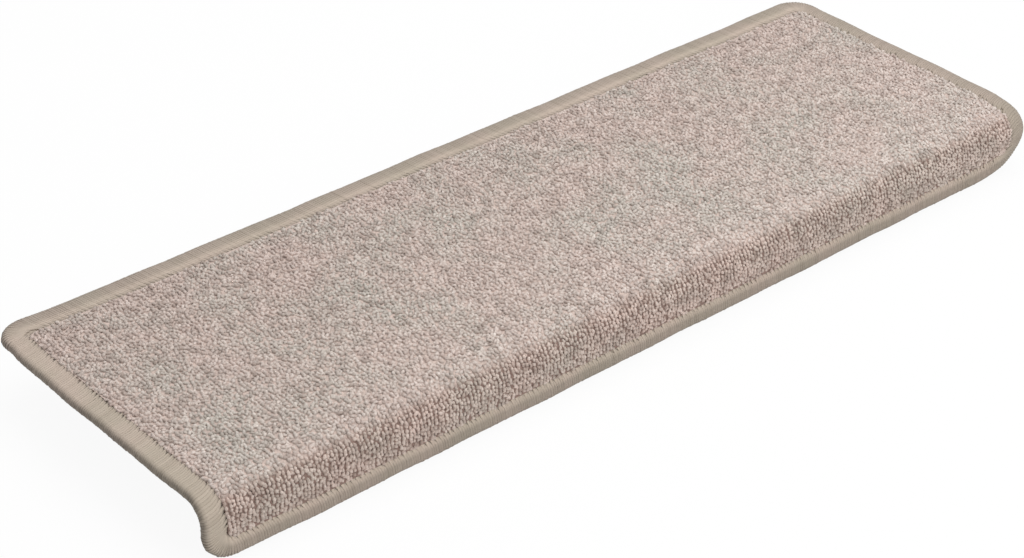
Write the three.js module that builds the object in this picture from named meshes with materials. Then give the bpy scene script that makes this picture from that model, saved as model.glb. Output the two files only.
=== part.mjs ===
// Anti slip stair tread mat: a loop pile carpet whose front edge is moulded down over the nose of
// the stair, a yarn binding sewn over its whole edge, and a thin rubber backing on the underside.
//
// Every layer is drawn on the unrolled mat first: x runs across it, u runs along it from the back
// edge towards the nose, and n is the height above the underside of the backing. Then it is bent.
// The origin is the middle of the flat underside, +Y points to the riser and +Z is up.
import * as THREE from "three";

// Overall sizes, in millimetres
const matWidth = 650;
const treadDepth = 210; // from the back edge to the front of the nose, over the binding
const cornerRadius = 20;

// Nose
const noseInnerRadius = 10.45; // inside of the bend, on the backing
const noseLean = 4; // degrees that the nose curls in past upright
const noseStraight = 10.7; // pile on the straight part of the nose, below its bend
const bendSteps = 7;

// Layers
const backingThickness = 1.5;
const rimThickness = 3.5; // carpet pressed together inside the binding
const pileHeight = 2.8; // crest of a pile row above the pressed rim
const layerGap = 0.3; // clearance between two layers, and between the pile and the binding

// Pile rows, which run from front to back
const rowPitch = 2.54;
const rowDepth = 1.1;
const rowEnd = 1.5; // length over which a row rounds off at its two ends
const edgePitch = 52; // spacing of the points along the foot of the pile

// Binding
const bindingFlange = 14;
const backFlange = 17.5; // the binding is wider along the back edge
const yarnThickness = 1.4;
const bindingBead = 2.4; // yarn between the carpet's edge and the binding's outer edge
const bindingSoftening = 0.4;
const beadSteps = 6;
const cornerSteps = 5;
const smallestCorner = 1;

// Heights of the layers above the underside
const carpetBottom = backingThickness + layerGap;
const rimTop = carpetBottom + rimThickness;
const pileTop = rimTop + pileHeight;
const cavityBottom = carpetBottom - layerGap;
const cavityTop = rimTop + layerGap;
const bindingBottom = cavityBottom - yarnThickness;
const bindingTop = cavityTop + yarnThickness;
const beadRadius = (bindingTop - bindingBottom) / 2;

// Insets of the layers from the mat's outer edge
const pileInset = bindingFlange + layerGap;
const rimInset = bindingBead + layerGap;

// Lengths along the unrolled mat
const bendAngle = THREE.MathUtils.degToRad(90 + noseLean);
const flatLength = treadDepth - noseInnerRadius - bindingTop;
const bendLength = noseInnerRadius * bendAngle;
const dropLength = noseStraight + pileInset;
const sheetLength = flatLength + bendLength + dropLength;
const backEdgeY = (flatLength + backInset(pileInset)) / 2;

// Inset along the back edge of a line that lies at another inset along the other edges
function backInset(inset) {
  const share = (inset - rimInset) / (bindingFlange - rimInset);
  return inset + (backFlange - bindingFlange) * THREE.MathUtils.clamp(share, 0, 1);
}

// A point of the unrolled mat, bent into its place over the nose
function bent(x, u, n) {
  const pastFlat = u - flatLength;
  const angle = THREE.MathUtils.clamp(pastFlat / noseInnerRadius, 0, bendAngle);
  const alongFlat = Math.min(u, flatLength);
  const alongDrop = Math.max(pastFlat - bendLength, 0);
  const radius = noseInnerRadius + n;
  return new THREE.Vector3(
    x,
    backEdgeY - alongFlat - radius * Math.sin(angle) - alongDrop * Math.cos(angle),
    radius * Math.cos(angle) - noseInnerRadius - alongDrop * Math.sin(angle),
  );
}

// Distances along the mat at which the bend changes direction
function bendStations() {
  const stations = [];
  for (let i = 0; i <= bendSteps; i++) stations.push(flatLength + (bendLength * i) / bendSteps);
  return stations;
}

// A closed surface built up from points and triangles
class Skin {
  constructor() {
    this.points = [];
    this.across = [];
    this.triangles = [];
  }

  point(x, u, n) {
    this.points.push(bent(x, u, n));
    this.across.push(x);
    return this.points.length - 1;
  }

  triangle(a, b, c) {
    for (const corner of [a, b, c]) this.triangles.push(...this.points[corner].toArray());
  }

  // Joins two lines of as many points each
  quads(near, far) {
    for (let i = 0; i + 1 < near.length; i++) {
      this.triangle(near[i], far[i], near[i + 1]);
      this.triangle(near[i + 1], far[i], far[i + 1]);
    }
  }

  // Joins two lines that run the same way across the mat, by the shorter diagonal each time
  zip(near, far) {
    let i = 0;
    let j = 0;
    while (i + 1 < near.length || j + 1 < far.length) {
      const span = (a, b) => Math.abs(this.across[a] - this.across[b]);
      const nearIsNext =
        j + 1 === far.length ||
        (i + 1 < near.length && span(near[i + 1], far[j]) <= span(near[i], far[j + 1]));
      if (nearIsNext) {
        this.triangle(near[i], far[j], near[i + 1]);
        i += 1;
      } else {
        this.triangle(near[i], far[j], far[j + 1]);
        j += 1;
      }
    }
  }

  join(near, far) {
    if (near.length === far.length) this.quads(near, far);
    else this.zip(near, far);
  }

  // Joins two rings. Each one is a back line, a front line and the points along its two sides.
  band(inner, outer) {
    this.join(inner.back, outer.back);
    this.join(outer.front, inner.front);
    this.quads(sideLine(outer, "left"), sideLine(inner, "left"));
    this.quads(sideLine(inner, "right"), sideLine(outer, "right"));
  }

  // Closes a ring underneath, or on top
  cap(ring, facingUp) {
    const lines = [ring.back];
    ring.left.forEach((left, i) => lines.push([left, ring.right[i]]));
    lines.push(ring.front);
    for (let i = 0; i + 1 < lines.length; i++) {
      if (facingUp) this.join(lines[i], lines[i + 1]);
      else this.join(lines[i + 1], lines[i]);
    }
  }

  geometry() {
    const geometry = new THREE.BufferGeometry();
    geometry.setAttribute("position", new THREE.Float32BufferAttribute(this.triangles, 3));
    geometry.computeVertexNormals();
    return geometry;
  }
}

function sideLine(ring, side) {
  const end = side === "left" ? 0 : -1;
  return [ring.back.at(end), ...ring[side], ring.front.at(end)];
}

// Corner radii of the outline at an inset. The front corners stay on the straight of the nose.
function cornerRadii(inset) {
  const back = Math.max(cornerRadius - inset, smallestCorner);
  return { back, front: Math.min(back, dropLength - inset - smallestCorner / 2) };
}

// One end of the outline from left to right: a corner, a straight edge and a corner
function endLine(skin, inset, n, radius, edgeU, inwards, edgeParts) {
  const halfWidth = matWidth / 2 - inset;
  const corner = [];
  for (let i = 0; i <= cornerSteps; i++) {
    const turn = (Math.PI / 2) * (i / cornerSteps);
    corner.push({
      fromSide: radius * (1 - Math.cos(turn)),
      fromEnd: radius * (1 - Math.sin(turn)),
    });
  }
  const line = corner.map((p) =>
    skin.point(p.fromSide - halfWidth, edgeU + inwards * p.fromEnd, n),
  );
  const straight = 2 * (halfWidth - radius);
  for (let i = 1; i < edgeParts; i++)
    line.push(skin.point(straight * (i / edgeParts - 0.5), edgeU, n));
  for (const p of corner.reverse())
    line.push(skin.point(halfWidth - p.fromSide, edgeU + inwards * p.fromEnd, n));
  return line;
}

// The mat's outline at an inset and a height
function ringAt(skin, inset, n, edgeParts = 1) {
  const radii = cornerRadii(inset);
  const halfWidth = matWidth / 2 - inset;
  const side = (x) => bendStations().map((u) => skin.point(x, u, n));
  return {
    back: endLine(skin, inset, n, radii.back, backInset(inset), 1, edgeParts),
    left: side(-halfWidth),
    right: side(halfWidth),
    front: endLine(skin, inset, n, radii.front, sheetLength - inset, -1, edgeParts),
  };
}

// How far a rounded corner draws the outline's end back at a distance from the side
function cornerSetback(fromSide, radius) {
  const inCorner = Math.max(radius - fromSide, 0);
  return radius - Math.sqrt(radius * radius - inCorner * inCorner);
}

// The top of the pile: crests and valleys that run along the mat and over the nose.
// It returns the ring of points on its edge, which all lie in valleys.
function pileRows(skin) {
  const width = matWidth - 2 * pileInset;
  const rows = Math.round(width / rowPitch);
  const radii = cornerRadii(pileInset);
  const columns = [];
  for (let i = 0; i <= 2 * rows; i++) {
    const x = width * (i / (2 * rows) - 0.5);
    const fromSide = width / 2 - Math.abs(x);
    const isCrest = i % 2 === 1;
    const n = isCrest ? pileTop : pileTop - rowDepth;
    const roundOff = isCrest ? rowEnd : 0;
    const back = backInset(pileInset) + cornerSetback(fromSide, radii.back) + roundOff;
    const front = sheetLength - pileInset - cornerSetback(fromSide, radii.front) - roundOff;
    columns.push([back, ...bendStations(), front].map((u) => skin.point(x, u, n)));
  }
  for (let i = 0; i + 1 < columns.length; i++) skin.quads(columns[i + 1], columns[i]);
  for (let i = 0; i + 2 < columns.length; i += 2) {
    const [left, crest, right] = columns.slice(i, i + 3);
    skin.triangle(left[0], crest[0], right[0]);
    skin.triangle(left.at(-1), right.at(-1), crest.at(-1));
  }
  const valleys = columns.filter((_, i) => i % 2 === 0);
  return {
    back: valleys.map((column) => column[0]),
    left: valleys[0].slice(1, -1),
    right: valleys.at(-1).slice(1, -1),
    front: valleys.map((column) => column.at(-1)),
  };
}

// The carpet: a thin pressed rim inside the binding, and the block of pile rows in the middle
function carpet() {
  const skin = new Skin();
  const edgeParts = Math.max(Math.round(matWidth / edgePitch), 1);
  const rimUnderside = ringAt(skin, rimInset, carpetBottom, edgeParts);
  const rimUpperSide = ringAt(skin, rimInset, rimTop, edgeParts);
  const pileFoot = ringAt(skin, pileInset, rimTop, edgeParts);
  skin.cap(rimUnderside, false);
  skin.band(rimUnderside, rimUpperSide);
  skin.band(rimUpperSide, pileFoot);
  skin.band(pileFoot, pileRows(skin));
  return skin.geometry();
}

// The binding's section, from its lower flange round the outer bead and back through its cavity
function bindingSection() {
  const section = [{ inset: bindingFlange, n: bindingBottom }];
  for (let i = 0; i <= beadSteps; i++) {
    const turn = Math.PI * (i / beadSteps);
    section.push({
      inset: beadRadius * (1 - Math.sin(turn)),
      n: bindingBottom + beadRadius * (1 - Math.cos(turn)),
    });
  }
  section.push(
    { inset: bindingFlange - bindingSoftening, n: bindingTop },
    { inset: bindingFlange, n: bindingTop - bindingSoftening },
    { inset: bindingFlange, n: cavityTop },
    { inset: bindingBead, n: cavityTop },
    { inset: bindingBead, n: cavityBottom },
    { inset: bindingFlange, n: cavityBottom },
  );
  return section;
}

function binding() {
  const skin = new Skin();
  const rings = bindingSection().map(({ inset, n }) => ringAt(skin, inset, n));
  rings.forEach((ring, i) => skin.band(ring, rings[(i + 1) % rings.length]));
  return skin.geometry();
}

function backing() {
  const skin = new Skin();
  const underside = ringAt(skin, pileInset, 0);
  const upperSide = ringAt(skin, pileInset, backingThickness);
  skin.cap(underside, false);
  skin.band(underside, upperSide);
  skin.cap(upperSide, true);
  return skin.geometry();
}

function piece(name, geometry, color, roughness) {
  const material = new THREE.MeshStandardMaterial({ color, roughness, metalness: 0 });
  material.flatShading = true;
  const mesh = new THREE.Mesh(geometry, material);
  mesh.name = name;
  return mesh;
}

const mat = new THREE.Group();
mat.add(
  piece("carpet_tread", carpet(), 0xb8a298, 0.95),
  piece("edge_binding", binding(), 0xb8ab9d, 0.85),
  piece("anti_slip_backing", backing(), 0x4a4744, 0.8),
);

export default mat;
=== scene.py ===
"""Anti slip stair tread mat: its loop pile, its wound yarn binding and its rubber backing.

The mat is drawn unrolled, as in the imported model: x runs across it, s runs along it from the back
edge to the front one, and n is the height above the underside. Then it is bent over the nose.
"""
import math

import bpy
import numpy as np
from mathutils import Matrix, Vector


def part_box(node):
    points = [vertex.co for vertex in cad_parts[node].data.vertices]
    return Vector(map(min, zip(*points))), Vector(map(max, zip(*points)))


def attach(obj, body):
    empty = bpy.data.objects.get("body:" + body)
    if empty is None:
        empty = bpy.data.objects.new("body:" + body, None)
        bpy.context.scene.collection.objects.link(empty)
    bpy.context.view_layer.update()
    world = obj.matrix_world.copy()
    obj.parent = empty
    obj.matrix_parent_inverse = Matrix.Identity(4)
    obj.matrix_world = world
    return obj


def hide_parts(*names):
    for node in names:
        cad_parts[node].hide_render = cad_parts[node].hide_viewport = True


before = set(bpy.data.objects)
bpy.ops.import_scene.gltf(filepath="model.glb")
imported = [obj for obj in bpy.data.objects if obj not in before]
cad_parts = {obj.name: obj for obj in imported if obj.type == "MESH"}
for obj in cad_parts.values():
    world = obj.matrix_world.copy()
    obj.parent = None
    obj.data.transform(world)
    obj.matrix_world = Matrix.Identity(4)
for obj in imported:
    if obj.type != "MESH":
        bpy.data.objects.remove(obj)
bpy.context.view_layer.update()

MM = 0.001
SEED = 11
rng = np.random.default_rng(SEED)

# The mat's shape, in metres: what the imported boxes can't say is named here

bind_low, bind_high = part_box("edge_binding")
_, pile_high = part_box("carpet_tread")
_, backing_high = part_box("anti_slip_backing")
HALF_WIDTH = bind_high.x
BACK_Y = bind_high.y
MAT_DEPTH = 210 * MM
BEND_RADIUS = 10.45 * MM  # inside of the nose, on the underside
BEND_ANGLE = math.radians(94)
DROP = 25 * MM  # straight part of the nose, down to its edge
CORNER_RADIUS = 20 * MM
FLANGE = 14 * MM  # width of the binding on the face
BACK_FLANGE = 17.5 * MM  # the same along the back edge
EDGE_WIDTH = 3.4 * MM  # how far in the outer edge of the binding is rounded
LAYER_GAP = 0.3 * MM
BIND_TOP = bind_high.z
BIND_BOTTOM = 0.1 * MM  # just clear of the stair
BIND_MIDDLE = (BIND_TOP + BIND_BOTTOM) / 2
PILE_TOP = pile_high.z
FLAT_LENGTH = MAT_DEPTH - BEND_RADIUS - BIND_TOP

# How far the hand-cut mat's corners lie towards the back: the side, 0 for a back corner and 1 for
# a front one, the distance and how far round the corner it is felt
CORNER_PULLS = [
    (-1, 0, 2.2 * MM, 45 * MM),
    (1, 0, 1.1 * MM, 45 * MM),
    (-1, 1, 1.6 * MM, 45 * MM),
    (1, 1, 5.5 * MM, 21 * MM),
]

# How far places on its sides lie inwards: the side, the place from the back edge, the distance and
# how far along the side it is felt
SIDE_PULLS = [
    (-1, 21 * MM, 1.3 * MM, 7 * MM),
    (1, 12 * MM, -0.9 * MM, 15 * MM),
    (1, 145 * MM, -0.9 * MM, 35 * MM),
    (1, FLAT_LENGTH + 3 * MM, 2.1 * MM, 10 * MM),
    (1, FLAT_LENGTH + 38 * MM, 1.5 * MM, 9 * MM),
]
SIDE_REACH = 40 * MM  # how far in from the side it is felt


def sheet_length(level):
    """Length of the unrolled mat at a height."""
    return FLAT_LENGTH + (BEND_RADIUS + level) * BEND_ANGLE + DROP


def side_pull(x, s):
    """How far a point is moved across the mat, most on its sides and nothing far from them."""
    pull = 0.0
    for side, place, distance, reach in SIDE_PULLS:
        away = np.hypot((x - side * HALF_WIDTH) / SIDE_REACH, (s - place) / reach)
        pull = pull + side * distance * np.exp(-(away**2))
    return pull


def corner_pull(x, s, level):
    """How far a point lies towards the back, most at the corners and nothing far from them."""
    pull = 0.0
    for side, end, distance, reach in CORNER_PULLS:
        from_corner = np.hypot(x - side * HALF_WIDTH, s - end * sheet_length(level)) / reach
        pull = pull + distance * np.exp(-(from_corner**2))
    return pull


def bent(x, s, n, level):
    """Points of the unrolled mat, bent over the nose. s is measured at the height level."""
    x, s, n = np.broadcast_arrays(x, s, n)
    x, s = x - side_pull(x, s), s - corner_pull(x, s, level)
    past = s - FLAT_LENGTH
    angle = np.clip(past / (BEND_RADIUS + level), 0.0, BEND_ANGLE)
    along_flat = np.minimum(s, FLAT_LENGTH)
    along_drop = np.maximum(past - (BEND_RADIUS + level) * BEND_ANGLE, 0.0)
    radius = BEND_RADIUS + n
    y = BACK_Y - along_flat - radius * np.sin(angle) - along_drop * np.cos(angle)
    z = radius * np.cos(angle) - BEND_RADIUS - along_drop * np.sin(angle)
    return np.stack([x, y, z], axis=-1)


# Pieces made from arrays of points

def mesh_piece(name, points, faces, material, smooth=True):
    """A mesh object from arrays of points and of faces with as many corners each."""
    mesh = bpy.data.meshes.new(name)
    corners = faces.shape[1]
    mesh.vertices.add(len(points))
    mesh.vertices.foreach_set("co", np.ascontiguousarray(points, np.float32).ravel())
    mesh.loops.add(faces.size)
    mesh.loops.foreach_set("vertex_index", np.ascontiguousarray(faces, np.int32).ravel())
    mesh.polygons.add(len(faces))
    mesh.polygons.foreach_set("loop_start", np.arange(0, faces.size, corners, dtype=np.int32))
    mesh.polygons.foreach_set("use_smooth", np.full(len(faces), smooth))
    mesh.update(calc_edges=True)
    mesh.validate()
    mesh.materials.append(material)
    piece = bpy.data.objects.new(name, mesh)
    bpy.context.scene.collection.objects.link(piece)
    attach(piece, "root")
    return piece


def add_attribute(piece, name, values):
    """A number on each point of a piece, for its material to read."""
    attribute = piece.data.attributes.new(name, "FLOAT", "POINT")
    attribute.data.foreach_set("value", np.ascontiguousarray(values, np.float32).ravel())


def tube_faces(rings, sides):
    """Triangles of a tube with closed ends, whose points are rings of sides points."""
    faces = []
    for ring in range(rings - 1):
        for side in range(sides):
            here = ring * sides + side
            beside = ring * sides + (side + 1) % sides
            faces += [(here, beside, beside + sides), (here, beside + sides, here + sides)]
    last = (rings - 1) * sides
    for side in range(1, sides - 1):
        faces += [(0, side + 1, side), (last, last + side, last + side + 1)]
    return np.array(faces)


def repeated(template, count, points_each):
    """The faces of one template for count copies in a row."""
    shift = np.arange(count)[:, None, None] * points_each
    return (template[None] + shift).reshape(-1, template.shape[1])


# Shader nodes

WHITE = (1.0, 1.0, 1.0)
MIX_FACTOR, MIX_FIRST, MIX_SECOND, MIX_RESULT = 0, 6, 7, 2  # sockets of a colour Mix node


def node(tree, kind, inputs=None, **settings):
    """A shader node with its settings, its plain values and its links."""
    made = tree.nodes.new("ShaderNode" + kind)
    for key, value in settings.items():
        setattr(made, key, value)
    for key, value in (inputs or {}).items():
        if isinstance(value, bpy.types.NodeSocket):
            tree.links.new(value, made.inputs[key])
        else:
            made.inputs[key].default_value = value
    return made


def calculated(tree, operation, first, second=0.0):
    """A number worked out from one or two others."""
    return node(tree, "Math", {0: first, 1: second}, operation=operation).outputs[0]


def noise(tree, place, scale, detail, roughness=0.5):
    """Cloudy values from 0 to 1, with scale clouds to a metre and finer ones in them."""
    settings = {"Vector": place, "Scale": scale, "Detail": detail, "Roughness": roughness}
    return node(tree, "TexNoise", settings).outputs["Fac"]


def carried(tree, name):
    """A number that a piece carries on its points."""
    return node(tree, "Attribute", attribute_name=name).outputs["Fac"]


def ramp(tree, factor, stops):
    """A colour ramp between two stops, each (place, colour)."""
    made = node(tree, "ValToRGB", {"Fac": factor})
    for element, (place, color) in zip(made.color_ramp.elements, stops):
        element.position = place
        element.color = (*color, 1.0)
    return made.outputs["Color"]


def linear(value):
    """The linear value of a colour channel written as 0 to 255, as a shader takes it."""
    value /= 255
    return value / 12.92 if value <= 0.04045 else ((value + 0.055) / 1.055) ** 2.4


def srgb(red, green, blue):
    """A colour written as 0 to 255, in linear values."""
    return (linear(red), linear(green), linear(blue))


def mixed(tree, factor, first, second, blend_type="MIX"):
    """Two colours mixed by a factor."""
    if not isinstance(second, bpy.types.NodeSocket):
        second = (*second, 1.0)
    if not isinstance(first, bpy.types.NodeSocket):
        first = (*first, 1.0)
    inputs = {MIX_FACTOR: factor, MIX_FIRST: first, MIX_SECOND: second}
    return node(tree, "Mix", inputs, data_type="RGBA", blend_type=blend_type).outputs[MIX_RESULT]


def darkened(tree, color, shade):
    """A colour multiplied by a shade."""
    return mixed(tree, 1.0, color, shade, "MULTIPLY")


def new_material(name):
    """A material with its tree, its shader and the place on the object."""
    material = bpy.data.materials.new(name)
    material.use_nodes = True
    tree = material.node_tree
    shader = tree.nodes["Principled BSDF"]
    place = node(tree, "TexCoord").outputs["Object"]
    return material, tree, shader, place


def finish_surface(tree, shader, color, height, bump, settings):
    """Gives a shader its colour, its bump as (strength, depth) of a height, and other settings."""
    strength, depth = bump
    raised = node(tree, "Bump", {"Height": height, "Strength": strength, "Distance": depth})
    tree.links.new(color, shader.inputs["Base Color"])
    tree.links.new(raised.outputs["Normal"], shader.inputs["Normal"])
    for name, value in settings.items():
        shader.inputs[name].default_value = value


# Material of the pile

PILE_PINK = srgb(213, 196, 188)
PILE_GREY = srgb(203, 196, 187)
PILE_LIGHT = srgb(240, 230, 223)
PILE_DARK = srgb(150, 129, 119)
NOSE_TINT = (1.0, 0.955, 0.93)  # the yarn looks pinker over the nose
PATCH_NOISE = (17.0, 3.0, 0.6)  # scale, detail and roughness, as in the noises below
PATCH_COLORS = [(0.42, PILE_PINK), (0.66, PILE_GREY)]
BLOTCH_NOISE = (120.0, 2.0)
BLOTCH_SHADES = [(0.38, (0.74, 0.73, 0.72)), (0.6, WHITE)]
FIBRE_NOISE = (900.0, 2.0)
FIBRE_SHADES = [(0.36, (0.88, 0.87, 0.86)), (0.6, WHITE)]
FIBRE_BUMP = (0.35, 0.3 * MM)
PLAIN_TONE = 0.5  # above it a loop is mixed with the light colour, and below it with the dark one
LIGHTEST_MIX = 0.8
DARKEST_MIX = 0.7
PILE_SURFACE = {
    "Roughness": 0.95,
    "Specular IOR Level": 0.15,
    "Sheen Weight": 0.15,
    "Sheen Roughness": 0.6,
}


def pile_material():
    """Heathered yarn: pink and grey patches, a tone for each loop, and fine plies."""
    material, tree, shader, place = new_material("loop_pile")
    color = ramp(tree, noise(tree, place, *PATCH_NOISE), PATCH_COLORS)
    color = darkened(tree, color, ramp(tree, noise(tree, place, *BLOTCH_NOISE), BLOTCH_SHADES))
    # The tone holds each loop's own random tone together with painted light and shade
    tone = carried(tree, "tone")
    for end, most, end_color in ((1.0, LIGHTEST_MIX, PILE_LIGHT), (0.0, DARKEST_MIX, PILE_DARK)):
        share = {"Value": tone, "From Min": PLAIN_TONE, "From Max": end, "To Max": most}
        color = mixed(tree, node(tree, "MapRange", share).outputs["Result"], color, end_color)
    fibres = noise(tree, place, *FIBRE_NOISE)
    color = darkened(tree, color, ramp(tree, fibres, FIBRE_SHADES))
    color = mixed(tree, carried(tree, "front"), color, NOSE_TINT, "MULTIPLY")
    finish_surface(tree, shader, color, fibres, FIBRE_BUMP, PILE_SURFACE)
    return material


# Material of the cloth and the roots

ROOT_COLOR = srgb(214, 195, 185)
OPEN_ROOT_PAINTED_SHADE_COLOR = srgb(150, 126, 116)  # painted shade in the gaps where the pile opens over the nose
GRAIN_NOISE = (700.0, 3.0)
GRAIN_SHADES = [(0.3, (0.65, 0.65, 0.65)), (0.7, WHITE)]
GRAIN_BUMP = (0.6, 0.4 * MM)


def ground_material():
    """The roots of the loops and the cloth that they are tufted through."""
    material, tree, shader, place = new_material("tufting_cloth")
    grain = noise(tree, place, *GRAIN_NOISE)
    # The darker roots over the nose are painted shade in the gaps of the opened pile
    color = mixed(tree, carried(tree, "front"), ROOT_COLOR, OPEN_ROOT_PAINTED_SHADE_COLOR)
    color = darkened(tree, color, ramp(tree, grain, GRAIN_SHADES))
    finish_surface(tree, shader, color, grain, GRAIN_BUMP, {"Roughness": 1.0})
    return material


# Material of the binding

YARN_NOISE = (30.0, 2.0)
YARN_COLORS = [(0.4, srgb(220, 202, 187)), (0.65, srgb(212, 198, 181))]
TURN_SHADES = [(0.0, (0.76, 0.75, 0.73)), (1.0, WHITE)]
PLY_NOISE = (2200.0, 2.0)
PLY_BUMP = (0.35, 0.2 * MM)
YARN_SURFACE = {
    "Roughness": 0.82,
    "Specular IOR Level": 0.25,
    "Sheen Weight": 0.12,
    "Sheen Roughness": 0.5,
}


def binding_material():
    """Beige sewing yarn with painted shade and highlight across the binding, and a change of tone from
    turn to turn.
    """
    material, tree, shader, place = new_material("binding_yarn")
    color = ramp(tree, noise(tree, place, *YARN_NOISE), YARN_COLORS)
    color = darkened(tree, color, ramp(tree, carried(tree, "tone"), TURN_SHADES))
    # The carried shade is painted shade and highlight across the binding
    color = darkened(tree, color, carried(tree, "shade"))
    plies = noise(tree, place, *PLY_NOISE)
    finish_surface(tree, shader, color, plies, PLY_BUMP, YARN_SURFACE)
    return material


# Material of the backing

RUBBER_NOISE = (45.0, 4.0)
RUBBER_COLORS = [(0.35, srgb(68, 66, 64)), (0.7, srgb(82, 79, 76))]
GRIP_PITCH = 5 * MM
DOT_SHADES = [(0.1, (0.55, 0.55, 0.55)), (0.5, WHITE)]
DOT_BUMP = (0.6, 0.4 * MM)


def wave_along(tree, distance):
    """A sine wave of the grip pattern's pitch along one distance."""
    return calculated(tree, "SINE", calculated(tree, "MULTIPLY", distance, 2 * math.pi / GRIP_PITCH))


def backing_material():
    """Dark grey rubber with fine raised dots that grip the stair."""
    material, tree, shader, place = new_material("backing_rubber")
    color = ramp(tree, noise(tree, place, *RUBBER_NOISE), RUBBER_COLORS)
    axes = node(tree, "SeparateXYZ", {"Vector": place}).outputs
    down = calculated(tree, "ADD", axes["Y"], axes["Z"])
    dots = calculated(tree, "MULTIPLY", wave_along(tree, axes["X"]), wave_along(tree, down))
    color = darkened(tree, color, ramp(tree, dots, DOT_SHADES))
    finish_surface(tree, shader, color, dots, DOT_BUMP, {"Roughness": 0.75})
    return material


# The outline of the unrolled mat

OUTLINE_INSET = 6 * MM  # where the spacing of places round the mat is measured
CORNER_TURNS = [-math.pi, -math.pi / 2, 0.0, math.pi / 2]

# Waves of the hand-led binding: how many go round the mat, where they start, and their size
EDGE_WAVES = [(9, 0.1, 0.2 * MM), (23, 0.6, 0.22 * MM), (41, 0.3, 0.14 * MM)]


def outline_stretches():
    """The corners and the straight sides of the mat in turn.

    Each has its length, the centres that its two ends turn about, and its first and last turn.
    """
    far = sheet_length(BIND_MIDDLE) - CORNER_RADIUS
    side = HALF_WIDTH - CORNER_RADIUS
    corners = [(-side, CORNER_RADIUS), (side, CORNER_RADIUS), (side, far), (-side, far)]
    arc = (CORNER_RADIUS - OUTLINE_INSET) * math.pi / 2
    stretches = []
    for corner, following, turn in zip(corners, corners[1:] + corners[:1], CORNER_TURNS):
        turned = turn + math.pi / 2
        stretches.append((arc, corner, corner, turn, turned))
        stretches.append((math.dist(corner, following), corner, following, turned, turned))
    return stretches


def outline_length():
    """The way round the mat."""
    return sum(stretch[0] for stretch in outline_stretches())


def outline(count):
    """count places spread evenly round the mat: the centre that each turns about, and its turn."""
    lengths, starts, stops, first_turns, last_turns = map(np.array, zip(*outline_stretches()))
    ends = np.concatenate([[0.0], np.cumsum(lengths)])
    along = np.arange(count) / count * ends[-1]
    which = np.searchsorted(ends, along, side="right") - 1
    share = (along - ends[which]) / lengths[which]
    centres = starts[which] + (stops - starts)[which] * share[:, None]
    return centres, first_turns[which] + (last_turns - first_turns)[which] * share


def outline_points(centres, turns, inset, sideways=0.0):
    """x and s at an inset from the mat's edge, moved sideways along the edge."""
    reach = CORNER_RADIUS - inset
    x = centres[:, 0][:, None] + reach * np.cos(turns)[:, None] - sideways * np.sin(turns)[:, None]
    s = centres[:, 1][:, None] + reach * np.sin(turns)[:, None] + sideways * np.cos(turns)[:, None]
    return x, s


def edge_wave(count):
    """How far the hand-led binding strays inwards at count places spread evenly round the mat."""
    share = np.arange(count) / count
    wave = np.zeros(count)
    for waves, start, size in EDGE_WAVES:
        wave += size * np.sin(2 * math.pi * (waves * share + start))
    return wave


def widened(inset, turns):
    """Insets of the binding's section, stretched along the back edge, where it is wider."""
    extra = (BACK_FLANGE - FLANGE) * np.maximum(-np.sin(turns), 0.0)
    return inset + extra * np.clip((inset - EDGE_WIDTH) / (FLANGE - EDGE_WIDTH), 0.0, None)


# Painted shade and highlight on the yarn across the binding, at places counted from its outer edge:
# darker on the rounded outer edge and at the inner end on the left and back, lighter on the front's
# inner rim, and darker all along the right side

SHADE_PLACES = np.array([0.5, 2.5, 5.0, 8.0, 10.5, 12.3, 14.0]) * MM
LEFT_PAINTED_SHADES = [0.42, 0.74, 0.74, 0.72, 0.72, 0.73, 0.56]
RIGHT_PAINTED_SHADES = [0.45, 0.56, 0.58, 0.6, 0.63, 0.63, 0.62]
BACK_PAINTED_SHADES = [0.42, 0.55, 0.55, 0.6, 0.79, 0.73, 0.58]
FRONT_PAINTED_SHADES = [0.42, 0.56, 0.57, 0.56, 0.74, 1.0, 0.82]


def painted_yarn_shade(inset, turns):
    """The yarn's painted shade and highlight at an inset, changing from one side of the mat to the next
    round a corner.
    """
    cosine, sine = np.cos(turns), np.sin(turns)
    sides = [(-cosine, LEFT_PAINTED_SHADES), (cosine, RIGHT_PAINTED_SHADES), (-sine, BACK_PAINTED_SHADES), (sine, FRONT_PAINTED_SHADES)]
    shade = 0.0
    for facing, shades in sides:
        shade = shade + np.maximum(facing, 0) ** 2 * np.interp(inset, SHADE_PLACES, shades)
    return shade


# The binding: yarn wound over the edge, one turn beside the other

STITCH_PITCH = 1.62 * MM
STITCH_SIDES = 6
YARN_HALF_WIDTH = 0.98 * MM
YARN_HALF_THICKNESS = 0.34 * MM
WIDTH_SPREAD = 0.03  # shares by which one turn differs from the next
THICKNESS_SPREAD = 0.08
PLACE_SPREAD = 0.03 * MM  # how far a turn lies off its place, upwards and sideways
STITCH_SLANT = 0.16  # sideways run of a turn for each unit that it runs inwards
END_SLANT = 0.5  # the same again for its inner end
SLANT_PLACE = 9.5 * MM  # where the inner end of a turn starts
END_POINTS = 3  # how many points of its line move with its inner end
END_TAPER = 0.85
END_SPREAD = 0.35 * MM  # how unevenly the turns end
RIGHT_END_SPREAD = 0.7 * MM  # added on the right side, where they are untidy
LONG_STITCH = 1.0 * MM  # how much further in every second turn reaches
SHORT_STITCH_PAINTED_SHADE = 0.85  # painted shade of the short ends, which lie set back between them
OUTER_BAND = 1.5 * MM  # width of the outermost yarn, which is fatter and carries painted shade, darker at random
OUTER_FADE = 1 * MM  # inner part of that band, over which this grows
OUTER_BULGE = (0.7, 0.3)  # mean and spread of the share by which it is fatter
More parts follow.
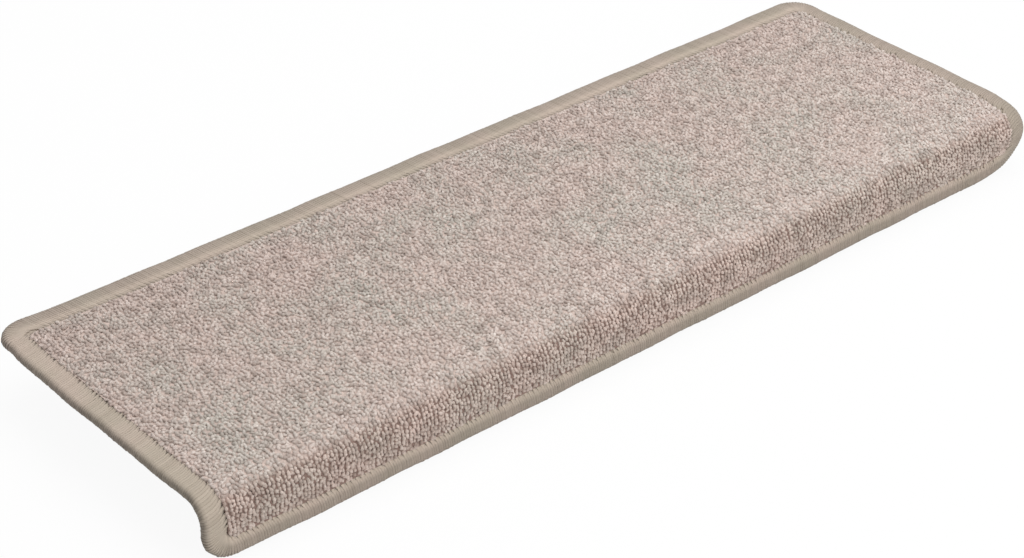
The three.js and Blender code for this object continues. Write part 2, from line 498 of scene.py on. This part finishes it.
# largest painted shade of the gaps on the outermost yarn, taken at random for each point
OUTER_PAINTED_SHADE = 0.35
TURN_TONE = (0.7, 0.12)  # mean and spread

# Inner end of a turn's middle line: places from the flange's edge and from the top
FACE_END = np.array([(0.5, -2.6), (0.1, -1.4), (-1.0, -0.7), (-3.2, -0.4), (-6.2, -0.34)]) * MM
UNDER_END = np.array([(-4.0, 0.4), (0.0, 0.6)]) * MM  # the same on the underside, from the bottom
LINE_SUNK = 0.34 * MM  # how far the middle line lies inside the outer edge
LINE_STEPS = 6

# The core under the turns: its face, and the slot in it that takes the edge of the cloth
CORE_FACE = np.array([(-0.4, -1.4), (-1.2, -1.1), (-4.0, -0.5)]) * MM
CORE_SUNK = 0.5 * MM
CORE_EDGE_STEPS = 8
CORE_STEPS = 400
CORE_SHORT = 0.5 * MM  # how far short of the flange its underside ends
SLOT_LOW = 1.5 * MM
SLOT_HIGH = 5.55 * MM
SLOT_START = 2.4 * MM  # from the outer edge
SLOT_SHORT = 0.4 * MM  # how far short of the flange the part above the slot ends
CORE_TONE = 0.5


def rounded_edge(sunk, steps):
    """The binding's outer edge from its face to its underside, as (inset, n), sunk under the yarn."""
    height = (BIND_TOP - BIND_BOTTOM) / 2 - sunk
    width = EDGE_WIDTH - sunk
    turns = [math.pi * i / steps for i in range(steps + 1)]
    return [(EDGE_WIDTH - width * math.sin(t), BIND_MIDDLE + height * math.cos(t)) for t in turns]


def stitch_line():
    """The middle line of one turn of yarn, as (inset, n), from the face round to the underside."""
    face = FACE_END + (FLANGE, BIND_TOP)
    under = UNDER_END + (FLANGE, BIND_BOTTOM)
    return np.concatenate([face, rounded_edge(LINE_SUNK, LINE_STEPS), under])


def core_section():
    """The core's closed section, as (inset, n)."""
    under = [(FLANGE - CORE_SHORT, BIND_BOTTOM + CORE_SUNK), (FLANGE - CORE_SHORT, SLOT_LOW)]
    slot = [(SLOT_START, SLOT_LOW), (SLOT_START, SLOT_HIGH), (FLANGE - SLOT_SHORT, SLOT_HIGH)]
    edge = rounded_edge(CORE_SUNK, CORE_EDGE_STEPS)
    return np.concatenate([CORE_FACE + (FLANGE, BIND_TOP), edge, under, slot])


def outermost(line):
    """1 for the points of a middle line that are outermost, and 0 for those well inside."""
    return np.clip((OUTER_BAND - line[:, 0]) / OUTER_FADE, 0, 1)


def stitch_ends(turns, points):
    """How much further in than the rest of the binding each point of each turn of yarn lies."""
    count = len(turns)
    loose = END_SPREAD + RIGHT_END_SPREAD * np.maximum(np.cos(turns), 0)
    ends = rng.normal(0.0, 1.0, count) * loose + LONG_STITCH * (np.arange(count) % 2)
    ends = ends[:, None] * (np.arange(points) < END_POINTS)
    return ends + edge_wave(count)[:, None]


def stitch_points(centres, turns, line):
    """The points of every turn of yarn, one ring of them for each point of its middle line."""
    count, steps = len(turns), len(line)
    width = YARN_HALF_WIDTH * rng.normal(1.0, WIDTH_SPREAD, (count, 1, 1))
    thickness = YARN_HALF_THICKNESS * rng.normal(1.0, THICKNESS_SPREAD, (count, 1, 1))
    ends = stitch_ends(turns, steps)
    lift = rng.normal(0.0, PLACE_SPREAD, (count, 1, 1))
    bulge = 1 + outermost(line)[:, None] * rng.normal(*OUTER_BULGE, (count, steps, 1))
    wander = rng.normal(0.0, PLACE_SPREAD, (count, 1, 1))
    taper = np.ones((steps, 1))
    taper[[0, -1]] = END_TAPER
    ring = 2 * math.pi * np.arange(STITCH_SIDES) / STITCH_SIDES
    rise = np.sin(ring) * thickness * bulge * taper + lift
    tangent = np.gradient(line, axis=0)
    tangent /= np.linalg.norm(tangent, axis=1)[:, None]
    inset = (widened(line[:, 0], turns[:, None]) + ends)[:, :, None] - rise * tangent[:, 1:]
    n = line[:, 1:] + rise * tangent[:, :1]
    slant = STITCH_SLANT * line[:, 0] + END_SLANT * np.maximum(line[:, 0] - SLANT_PLACE, 0)
    slant = slant * np.sign(line[:, 1] - BIND_MIDDLE)
    sideways = np.cos(ring) * width * taper + slant[:, None] + wander
    size = (count, steps * STITCH_SIDES)
    x, s = outline_points(centres, turns, inset.reshape(size), sideways.reshape(size))
    return bent(x, s, n.reshape(size), BIND_MIDDLE)


def color_stitches(piece, turns, line):
    """Gives each turn of yarn its tone and each of its rings its painted shade, darker still at random
    on the outermost yarn and on the short ends.
    """
    count, steps = len(turns), len(line)
    tone = np.clip(rng.normal(*TURN_TONE, count), 0, 1)
    add_attribute(piece, "tone", np.repeat(tone, steps * STITCH_SIDES))
    shade = painted_yarn_shade(line[:, 0], turns[:, None])
    shade = shade * (1 - OUTER_PAINTED_SHADE * outermost(line) * rng.random((count, steps)))
    shade[::2] *= np.where(np.arange(steps) < END_POINTS, SHORT_STITCH_PAINTED_SHADE, 1.0)
    add_attribute(piece, "shade", np.repeat(shade, STITCH_SIDES, axis=1))


def binding_stitches(material):
    """Every turn of yarn round the mat, as one piece."""
    count = round(outline_length() / STITCH_PITCH)
    centres, turns = outline(count)
    line = stitch_line()
    points = stitch_points(centres, turns, line)
    faces = repeated(tube_faces(len(line), STITCH_SIDES), count, points.shape[1])
    placed = points.reshape(-1, 3)
    piece = mesh_piece("binding_yarn_turns", placed, faces, material)
    color_stitches(piece, turns, line)
    return piece


def binding_core(material):
    """The closed body of yarn under the turns, which stands for the CAD binding."""
    centres, turns = outline(CORE_STEPS)
    section = core_section()
    inset = widened(section[:, 0], turns[:, None]) + edge_wave(CORE_STEPS)[:, None]
    x, s = outline_points(centres, turns, inset)
    points = bent(x, s, section[:, 1], BIND_MIDDLE).reshape(-1, 3)
    sides = len(section)
    here = np.arange(CORE_STEPS)[:, None] * sides
    following = np.roll(here, -1, axis=0)
    side = np.arange(sides)
    beside = (side + 1) % sides
    quads = np.stack([here + side, here + beside, following + beside, following + side], axis=-1)
    piece = mesh_piece("binding_core", points, quads.reshape(-1, 4), material, False)
    add_attribute(piece, "tone", np.full(len(points), CORE_TONE))
    # The core carries the same painted shade and highlight as the turns
    add_attribute(piece, "shade", painted_yarn_shade(section[:, 0], turns[:, None]))
    return piece


# Layers: flat slabs with the mat's outline, bent over the nose

PILE_OPENS = 10.9 * MM  # how far into the bend the pile starts to open and the nose's painted shade begins
OPENING_LENGTH = 3.5 * MM
SHARPEST_CORNER = 1 * MM
CORNER_ROWS = 9
FLAT_ROWS = 12
BEND_ROWS = 17
SLAB_COLUMNS = 30


def past_bend(s):
    """0 on the flat of the mat and 1 on its nose, where the pile is opened by the bend and where
    painted shade darkens its roots and loops.
    """
    return np.clip((s - FLAT_LENGTH - PILE_OPENS) / OPENING_LENGTH, 0.0, 1.0)


def slab_rows(inset, back_inset, level, radius):
    """Stations along the mat for a slab, close together round the bend and at the corners."""
    length = sheet_length(level)
    bend_end = FLAT_LENGTH + (BEND_RADIUS + level) * BEND_ANGLE
    corner = radius * (1 - np.cos(np.linspace(0, math.pi / 2, CORNER_ROWS)))
    return np.concatenate([
        back_inset + corner,
        np.linspace(back_inset + radius, FLAT_LENGTH, FLAT_ROWS)[1:-1],
        np.linspace(FLAT_LENGTH, bend_end, BEND_ROWS),
        length - inset - corner[::-1],
    ])


def slab_grid(inset, back_inset, level):
    """x and s of a slab's points, row by row."""
    radius = max(CORNER_RADIUS - inset, SHARPEST_CORNER)
    rows = slab_rows(inset, back_inset, level, radius)
    from_end = np.minimum(rows - back_inset, sheet_length(level) - inset - rows)
    in_corner = np.maximum(radius - from_end, 0.0)
    half = HALF_WIDTH - inset - radius + np.sqrt(np.maximum(radius**2 - in_corner**2, 0.0))
    x = np.linspace(-1, 1, SLAB_COLUMNS) * half[:, None]
    return x, np.repeat(rows[:, None], SLAB_COLUMNS, axis=1)


def slab_faces(rows, columns):
    """The upper face, the lower face and the rim of a slab whose upper points come first."""
    grid = np.arange(rows * columns).reshape(rows, columns)
    top = np.stack([grid[:-1, :-1], grid[1:, :-1], grid[1:, 1:], grid[:-1, 1:]], axis=-1).reshape(-1, 4)
    under = top[:, ::-1] + grid.size
    rim = np.concatenate([grid[0, :-1], grid[:-1, -1], grid[-1, :0:-1], grid[:0:-1, 0]])
    following = np.roll(rim, -1)
    wall = np.stack([rim, following, following + grid.size, rim + grid.size], axis=-1)
    return np.concatenate([top, under, wall])


def slab(name, insets, low, high, material, slot_name):
    """A closed slab between two heights. insets are from the sides and front, and from the back."""
    level = (low + high) / 2
    x, s = slab_grid(*insets, level)
    points = np.concatenate([bent(x, s, n, level).reshape(-1, 3) for n in (high, low)])
    piece = mesh_piece(name, points, slab_faces(*x.shape), material, False)
    add_attribute(piece, "front", np.tile(past_bend(s).ravel(), 2))
    return piece


# The pile: loops of yarn in rows that run from front to back

ROW_PITCH = 2.54 * MM
LOOP_PITCH = 2.4 * MM
ROW_SHIFT = 0.8  # share of the pitch by which whole rows are shifted against each other
PILE_INSET = 15.1 * MM  # of the outermost loops' middle
PILE_BACK_INSET = PILE_INSET + BACK_FLANGE - FLANGE
PILE_EDGE_SPREAD = 0.2 * MM  # how far a row may run past the insets
PILE_CORNER_RADIUS = 2.5 * MM
PILE_FOOT = 5.6 * MM
LOOP_LEVEL = PILE_TOP - 0.5 * MM  # height at which the loops are spaced
LOOP_SIDES = 4
LOOP_PIECES = 5

# One loop's middle line as (along, height) shares, and the yarn's thickness on it
LOOP_LINE = np.array([(-0.8, 0.0), (-0.92, 0.6), (0.0, 1.0), (0.92, 0.6), (0.8, 0.0)])
LOOP_THICKNESS = np.array([0.8, 1.0, 1.12, 1.0, 0.8])
LOOP_SHAPE = (0.95, 1.5)  # half its length and its height, against each other

# How much the loops differ: means and spreads, or spreads alone
ACROSS_SPREAD = 0.6 * MM
ALONG_SPREAD = 0.55 * MM
YAW_SPREAD = math.radians(50)
LOOP_REACH = (0.95 * MM, 0.14 * MM)
LOOP_BELOW_TOP = 0.95 * MM  # from the pile's top down to the highest point of the middle line
HEIGHT_SPREAD = 0.2 * MM
YARN_RADIUS = (1.0 * MM, 0.09 * MM)
LEAN_SPREAD = 0.4 * MM
NOSE_ORDER = 0.55  # share of the disorder that is gone on the nose, where the rows show
NOSE_SHORTER = 0.1  # share by which the loops are shorter there

# Tones of the loops, from 0 for dark to 1 for light: a random tone for each, with painted light and
# shade added below
LOOP_TONE = (0.57, 0.06)
FLECKS = (-0.26, 0.0, 0.12)  # added to the dark loops, the plain ones and the light ones
FLECK_SHARES = (0.15, 0.72, 0.13)
FRONT_PAINTED_LIGHT = 0.16  # painted light, growing from the back of the flat to its front
NEUTRAL_PLACE = 0.4  # share of the flat where nothing is added for it
# painted light, lighter towards the right side
RIGHT_PAINTED_LIGHT = 0.03
# painted shade over the nose
NOSE_PAINTED_SHADE = 0.02
BROW_PLACE = 3 * MM  # painted highlight: a lighter line where the mat starts to bend
BROW_LENGTH = 4 * MM
BROW_PAINTED_HIGHLIGHT = 0.06
FOOT_PAINTED_SHADE = 0.25  # painted shade: a loop's ends are darker, where shade falls between the loops, less so on the flat
FLAT_FOOT_SHARE = 0.35


def loop_places():
    """Where each loop stands: x and s on the unrolled mat, row by row."""
    half = HALF_WIDTH - PILE_INSET
    last = sheet_length(LOOP_LEVEL) - PILE_INSET
    rows = round(2 * half / ROW_PITCH)
    steps = round((last - PILE_BACK_INSET) / LOOP_PITCH)
    x_rows = np.linspace(-half, half, rows)
    s_steps = np.linspace(PILE_BACK_INSET, last, steps)
    x, s = np.meshgrid(x_rows, s_steps, indexing="ij")
    s = s + rng.uniform(-0.5, 0.5, (rows, 1)) * LOOP_PITCH * ROW_SHIFT
    s = np.clip(s, PILE_BACK_INSET - PILE_EDGE_SPREAD, last + PILE_EDGE_SPREAD)
    from_side = np.maximum(PILE_CORNER_RADIUS - (half - np.abs(x)), 0)
    from_end = np.maximum(PILE_CORNER_RADIUS - np.minimum(s - PILE_BACK_INSET, last - s), 0)
    inside = np.hypot(from_side, from_end) <= PILE_CORNER_RADIUS
    return x[inside], s[inside]


def each(values):
    """One value for each loop, ready to meet arrays of its rings and their points."""
    return values[:, None, None]


def loop_points(x, s, opened, order):
    """The points of every loop, one ring of them for each point of its middle line."""
    count = len(x)
    yaw = each(rng.normal(0, YAW_SPREAD, count) * order)
    reach = each(rng.normal(*LOOP_REACH, count) * (1 - NOSE_SHORTER * opened))
    height = PILE_TOP - LOOP_BELOW_TOP - PILE_FOOT + each(rng.normal(0, HEIGHT_SPREAD, count))
    radius = each(rng.normal(*YARN_RADIUS, count)) * LOOP_THICKNESS[:, None]
    lean_x = each(rng.normal(0, LEAN_SPREAD, count))
    lean_s = each(rng.normal(0, LEAN_SPREAD, count))
    tangent = np.gradient(LOOP_LINE * LOOP_SHAPE, axis=0)
    tangent /= np.linalg.norm(tangent, axis=1)[:, None]
    ring = 2 * math.pi * np.arange(LOOP_SIDES) / LOOP_SIDES + math.pi / 2
    sideways = radius * np.cos(ring)
    outwards = radius * np.sin(ring)
    share = LOOP_LINE[:, 1:]
    along = reach * LOOP_LINE[:, :1] - outwards * tangent[:, 1:]
    up = height * share + outwards * tangent[:, :1]
    point_x = each(x) + along * np.sin(yaw) + sideways * np.cos(yaw) + lean_x * share
    point_s = each(s) + along * np.cos(yaw) - sideways * np.sin(yaw) + lean_s * share
    return bent(point_x, point_s, PILE_FOOT + up, LOOP_LEVEL)


def loop_tones(x, s, opened):
    """The tone of every loop at each point of its middle line: its own random tone, with painted light
    and shade added.
    """
    count = len(x)
    brow_highlight = np.exp(-(((s - FLAT_LENGTH - BROW_PLACE) / BROW_LENGTH) ** 2))
    fleck = rng.choice(FLECKS, count, p=FLECK_SHARES)
    tone = rng.normal(*LOOP_TONE, count) + fleck + RIGHT_PAINTED_LIGHT * x / HALF_WIDTH
    tone += FRONT_PAINTED_LIGHT * (np.minimum(s / FLAT_LENGTH, 1) - NEUTRAL_PLACE)
    tone = np.clip(tone - NOSE_PAINTED_SHADE * opened + BROW_PAINTED_HIGHLIGHT * brow_highlight, 0, 1)
    foot_share = FLAT_FOOT_SHARE + (1 - FLAT_FOOT_SHARE) * opened[:, None]
    return np.clip(tone[:, None] - FOOT_PAINTED_SHADE * foot_share * (1 - LOOP_LINE[:, 1]), 0, 1)


def pile_loops(material):
    """Every loop of the pile, in a few pieces from left to right."""
    x, s = loop_places()
    opened = past_bend(s)
    order = 1 - NOSE_ORDER * opened
    x = x + rng.normal(0, ACROSS_SPREAD, len(x)) * order
    s = s + rng.normal(0, ALONG_SPREAD, len(s)) * order
    points = loop_points(x, s, opened, order)
    tone = loop_tones(x, s, opened)
    template = tube_faces(len(LOOP_LINE), LOOP_SIDES)
    points_each = len(LOOP_LINE) * LOOP_SIDES
    pieces = []
    for i, chosen in enumerate(np.array_split(np.argsort(x, kind="stable"), LOOP_PIECES), start=1):
        faces = repeated(template, len(chosen), points_each)
        placed = points[chosen].reshape(-1, 3)
        piece = mesh_piece(f"pile_loops_{i}", placed, faces, material)
        add_attribute(piece, "tone", np.repeat(tone[chosen], LOOP_SIDES, axis=1))
        add_attribute(piece, "front", np.repeat(opened[chosen], points_each))
        pieces.append(piece)
    return pieces


# Surroundings

FLOOR_WHITE = 0.93  # share of plain white in what the camera sees of the floor
FLOOR_COLOR = (0.86, 0.86, 0.86, 1.0)
FLOOR_SIZE = 8.0
FLOOR_GAP = 0.2 * MM  # between the floor and the edge of the nose
WORLD_LIGHT = 0.5  # strength at which the white room lights the mat
KEY_LIGHT = {"place": (0.35, 0.08, 1.55), "aim": (0.05, 0, 0), "size": 1.4, "power": 17.9}
FRONT_LIGHT = {"place": (-0.2, -1.6, 0.8), "aim": (0, 0, 0), "size": 1.1, "power": 8.9}


def seen_directly(tree):
    """1 for rays from the camera, off gloss or through glass, and 0 for rays that light the mat."""
    path = node(tree, "LightPath").outputs
    seen = path["Is Camera Ray"]
    for kind in ("Is Glossy Ray", "Is Transmission Ray"):
        seen = calculated(tree, "MAXIMUM", seen, path[kind])
    return seen


def floor_material():
    """A pale floor that reads as white to the camera and keeps a soft shadow."""
    material, tree, shader, _ = new_material("studio_floor")
    shader.inputs["Base Color"].default_value = FLOOR_COLOR
    shader.inputs["Roughness"].default_value = 1.0
    glow = node(tree, "Emission", {"Color": (*WHITE, 1.0), "Strength": 1.0})
    share = calculated(tree, "MULTIPLY", seen_directly(tree), FLOOR_WHITE)
    both = node(tree, "MixShader", {0: share, 1: shader.outputs[0], 2: glow.outputs[0]})
    tree.links.new(both.outputs[0], tree.nodes["Material Output"].inputs["Surface"])
    return material


def studio_floor():
    """The floor that the nose stands on."""
    bpy.ops.mesh.primitive_plane_add(size=FLOOR_SIZE, location=(0, 0, bind_low.z - FLOOR_GAP))
    floor = bpy.context.object
    floor.name = "studio_floor"
    floor.data.materials.append(floor_material())


def soft_light(name, place, aim, size, power):
    """A square soft light that points at a place."""
    data = bpy.data.lights.new(name, "AREA")
    data.size = size
    data.energy = power
    light = bpy.data.objects.new(name, data)
    light.location = place
    light.rotation_euler = (Vector(aim) - Vector(place)).to_track_quat("-Z", "Y").to_euler()
    bpy.context.scene.collection.objects.link(light)


def studio():
    """A white room with a large soft light above the mat and a weaker one in front of it."""
    world = bpy.data.worlds.new("studio")
    world.use_nodes = True
    tree = world.node_tree
    background = tree.nodes["Background"]
    background.inputs["Color"].default_value = (*WHITE, 1.0)
    strength = node(tree, "MapRange", {"Value": seen_directly(tree), "To Min": WORLD_LIGHT})
    tree.links.new(strength.outputs["Result"], background.inputs["Strength"])
    bpy.context.scene.world = world
    soft_light("key_light", **KEY_LIGHT)
    soft_light("front_light", **FRONT_LIGHT)


# The camera that was fitted to the photograph

CAMERA_AZIMUTH = math.radians(-40.91)
CAMERA_TILT = math.radians(56.98)
CAMERA_ROLL = math.radians(0.4)
CAMERA_DISTANCE = 1.476
CAMERA_TARGET = Vector((-61.76 * MM, BACK_Y - MAT_DEPTH + 65.39 * MM, BIND_MIDDLE))
CAMERA_LENS = 88.93  # in mm, as is the width of its sensor
CAMERA_SENSOR = 36.0
CAMERA_SIGHT = 50.0  # how far it sees, in metres


def photo_camera():
    """The photograph's viewpoint."""
    data = bpy.data.cameras.new("photo_camera")
    data.lens = CAMERA_LENS
    data.sensor_width = CAMERA_SENSOR
    data.sensor_fit = "HORIZONTAL"
    data.clip_end = CAMERA_SIGHT
    camera = bpy.data.objects.new("photo_camera", data)
    turned = Matrix.Rotation(CAMERA_AZIMUTH, 4, "Z") @ Matrix.Rotation(CAMERA_TILT, 4, "X")
    turned = turned @ Matrix.Rotation(CAMERA_ROLL, 4, "Z")
    back = turned @ Vector((0, 0, CAMERA_DISTANCE))
    camera.matrix_world = Matrix.Translation(CAMERA_TARGET + back) @ turned
    bpy.context.scene.collection.objects.link(camera)
    bpy.context.scene.camera = camera


# The whole mat, in its surroundings

CLOTH_INSET = 2.7 * MM  # from the mat's edge to the cloth's, inside the binding
CLOTH_HEIGHTS = (1.8 * MM, 5.3 * MM)
ROOT_HEIGHTS = (5.2 * MM, 6.5 * MM)  # the loops stand so close that no eye sees further down
ROOTS_UNDER_YARN = 0.2 * MM  # how far the roots reach under the inner ends of the binding
BACKING_HEIGHTS = (0.0, backing_high.z)
BACKING_INSETS = (FLANGE + LAYER_GAP, BACK_FLANGE + LAYER_GAP)
ROOT_INSETS = tuple(inset - ROOTS_UNDER_YARN for inset in BACKING_INSETS)

photo_camera()
studio()
studio_floor()

pile = pile_material()
yarn = binding_material()
core = binding_core(yarn)
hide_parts("edge_binding")
yarn_turns = binding_stitches(yarn)
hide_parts("edge_binding")
cloth = ground_material()
ground = slab("tufting_cloth", (CLOTH_INSET, CLOTH_INSET), *CLOTH_HEIGHTS, cloth, "loop_pile")
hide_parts("carpet_tread")
roots = slab("pile_roots", ROOT_INSETS, *ROOT_HEIGHTS, cloth, "loop_pile")
loops = pile_loops(pile)
rubber = backing_material()
backing = slab("rubber_backing", BACKING_INSETS, *BACKING_HEIGHTS, rubber, "backing_rubber")
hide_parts("anti_slip_backing")

bpy.context.scene.view_settings.view_transform = "Standard"
